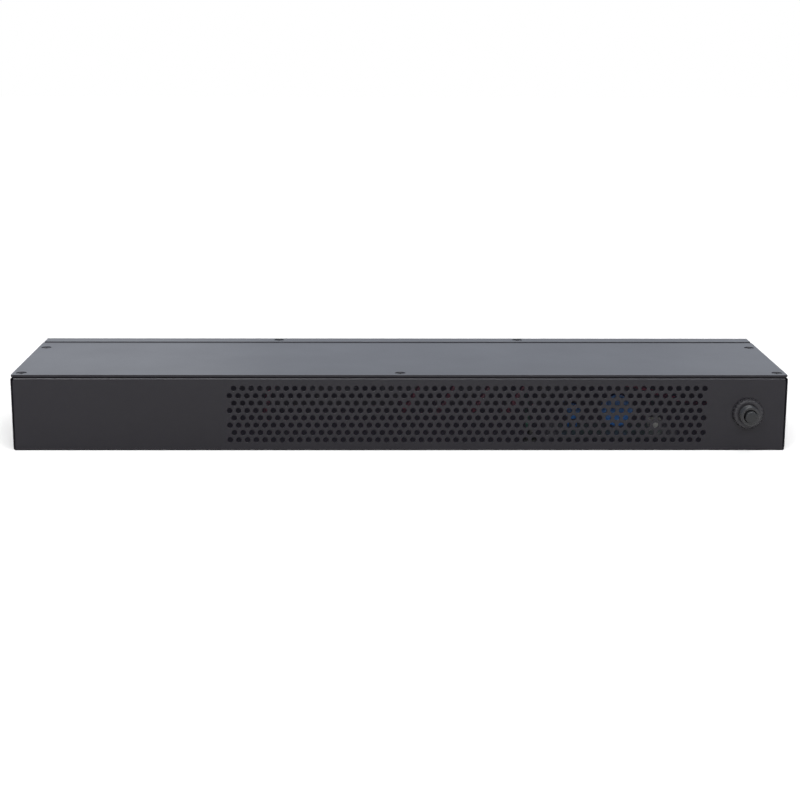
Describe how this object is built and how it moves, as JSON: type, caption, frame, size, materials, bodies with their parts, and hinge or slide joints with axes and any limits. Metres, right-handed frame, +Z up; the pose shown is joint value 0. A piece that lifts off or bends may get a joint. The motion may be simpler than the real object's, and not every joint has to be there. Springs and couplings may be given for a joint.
{
  "type": "rack power distribution unit",
  "caption": "Low rack-width steel case that feeds a row of appliance outlets from one power inlet, with a perforated vent panel and a push-to-reset circuit breaker beside the vents.",
  "frame": {"origin": "middle of the tray's underside, between the vent panel's and the outlet panel's faces", "axes": "+X along the case towards the breaker, +Y from the vent panel to the outlets, +Z up"},
  "size_m": [0.4444, 0.1235, 0.0446],
  "materials": {
    "case_paint": "fine satin powder coat, charcoal",
    "screw_black": "black plated, satin",
    "breaker_moulding": "black moulded thermoset",
    "breaker_nut": "black, ridged rim",
    "button_moulding": "black, worn satin",
    "terminal_brass": "bare stamped brass",
    "socket_moulding": "black moulded nylon",
    "pin_plating": "nickel plated brass",
    "sleeve_nylon": "natural nylon",
    "post_nylon": "black nylon",
    "wire_red": "red vinyl insulation",
    "wire_black": "black vinyl insulation",
    "wire_green": "green vinyl insulation",
    "earth_hardware": "zinc plated steel",
    "board_green": "green solder mask",
    "disc_blue": "blue dipped epoxy",
    "header_grey": "light grey nylon"
  },
  "bodies": {
    "case": {"base_tray": "case_paint", "vent_panel": "case_paint", "top_cover": "case_paint", "outlet_panel": "case_paint", "rear_rail": "case_paint", "cover_screws": "screw_black", "strip_screws": "screw_black", "breaker_case": "breaker_moulding", "breaker_nut": "breaker_nut", "breaker_terminals": "terminal_brass", "outlet_contacts": "terminal_brass", "live_bus": "terminal_brass", "neutral_bus": "terminal_brass", "earth_bus": "terminal_brass", "outlet_1": "socket_moulding", "outlet_2": "socket_moulding", "outlet_3": "socket_moulding", "outlet_4": "socket_moulding", "outlet_5": "socket_moulding", "outlet_6": "socket_moulding", "outlet_7": "socket_moulding", "outlet_8": "socket_moulding", "inlet_body": "socket_moulding", "inlet_pins": "pin_plating", "terminal_sleeves": "sleeve_nylon", "board_posts": "post_nylon", "live_feed_wire": "wire_red", "live_load_wire": "wire_red", "live_taps": "wire_red", "board_live_lead": "wire_red", "neutral_wire": "wire_black", "board_neutral_lead": "wire_black", "earth_wire": "wire_green", "bond_wire": "wire_green", "board_earth_lead": "wire_green", "earth_stud": "earth_hardware", "earth_lug": "earth_hardware", "earth_nut": "earth_hardware", "surge_board": "board_green", "varistor": "disc_blue", "safety_capacitors": "disc_blue", "board_header": "header_grey"},
    "button": {"reset_button": "button_moulding"}
  },
  "joints": [
    {"name": "button_slide", "type": "slide", "parent": "case", "child": "button", "axis": [0, -1, 0], "range_m": [0, 0.0035]}
  ]
}
